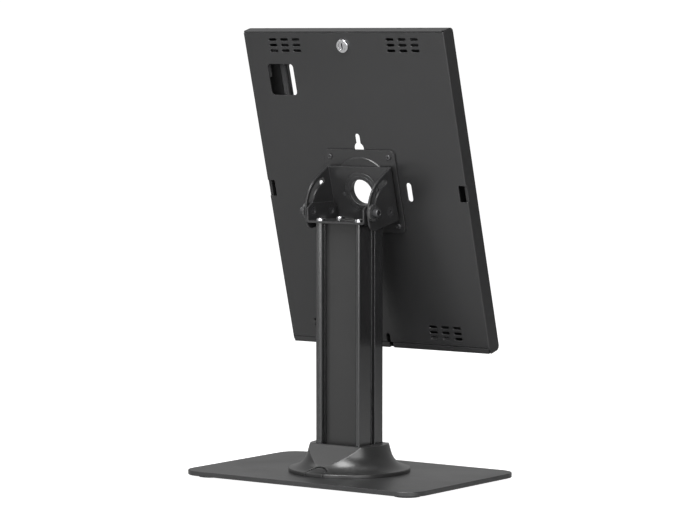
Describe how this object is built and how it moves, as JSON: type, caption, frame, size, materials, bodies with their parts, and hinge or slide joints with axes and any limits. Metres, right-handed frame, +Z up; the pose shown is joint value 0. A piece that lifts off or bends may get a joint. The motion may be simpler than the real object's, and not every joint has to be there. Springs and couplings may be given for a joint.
{
  "type": "tablet security kiosk stand",
  "caption": "Counter stand that locks a tablet in a steel enclosure, which tilts and swivels on an aluminium post with a flat base.",
  "frame": {"origin": "on the floor, under the middle of the base", "axes": "+Z up, the screen faces -Y, +X to the right as seen from the front"},
  "size_m": [0.298, 0.197, 0.4706],
  "materials": {
    "base_paint": "fine textured black powder coat",
    "foot_rubber": "matte",
    "black_screw": "black coated steel",
    "post_anodising": "black anodised",
    "black_plastic": "fine grain",
    "bracket_paint": "fine textured black powder coat",
    "grommet_rubber": "satin",
    "zinc": "zinc plated",
    "sheet_paint": "fine textured black powder coat",
    "bushing_metal": "black coated steel",
    "slip_plastic": "smooth",
    "lock_chrome": "polished",
    "foam": "closed cell foam"
  },
  "bodies": {
    "stand": {"base_plate": "base_paint", "base_feet": "foot_rubber", "base_screws": "black_screw", "post": "post_anodising", "post_cover": "black_plastic", "collar": "black_plastic", "collar_cable_door": "black_plastic", "post_bracket": "bracket_paint", "bracket_screws": "black_screw", "cable_grommet": "grommet_rubber", "pivot_bolts": "black_screw", "pivot_nuts": "black_screw", "spacer_washers": "zinc", "tilt_lock_bolts": "black_screw", "tilt_lock_washers": "black_screw", "tilt_lock_nuts": "black_screw"},
    "yoke": {"tilt_yoke": "bracket_paint", "swivel_bushing": "bushing_metal", "swivel_retainer": "zinc", "swivel_slip_washer": "slip_plastic", "swivel_stop_pin": "black_screw"},
    "enclosure": {"adapter_plate": "sheet_paint", "adapter_screws": "black_screw", "adapter_nuts": "zinc", "rear_cover": "sheet_paint", "lock_barrel": "lock_chrome", "lock_ring_nut": "zinc", "corner_blocks": "foam"},
    "frame": {"front_frame": "sheet_paint", "lock_keeper": "sheet_paint", "foam_strips": "foam"},
    "lock": {"lock_plug": "lock_chrome", "lock_cam": "zinc", "lock_cam_screw": "zinc"}
  },
  "joints": [
    {"name": "tilt", "type": "hinge", "parent": "stand", "child": "yoke", "pos_m": [0, -0.01625, 0.28], "axis": [-1, 0, 0], "range_deg": [0, 70]},
    {"name": "swivel", "type": "hinge", "parent": "yoke", "child": "enclosure", "pos_m": [0, -0.0291, 0.30042], "axis": [0, -0.9659, 0.2588], "range_deg": [0, 90]},
    {"name": "frame_open", "type": "hinge", "parent": "enclosure", "child": "frame", "pos_m": [0, -0.07324, 0.13687], "axis": [1, 0, 0], "range_deg": [0, 35]},
    {"name": "lock_turn", "type": "hinge", "parent": "enclosure", "child": "lock", "pos_m": [0, 0.01153, 0.45207], "axis": [0, -0.9659, 0.2588], "range_deg": [0, 90]}
  ]
}
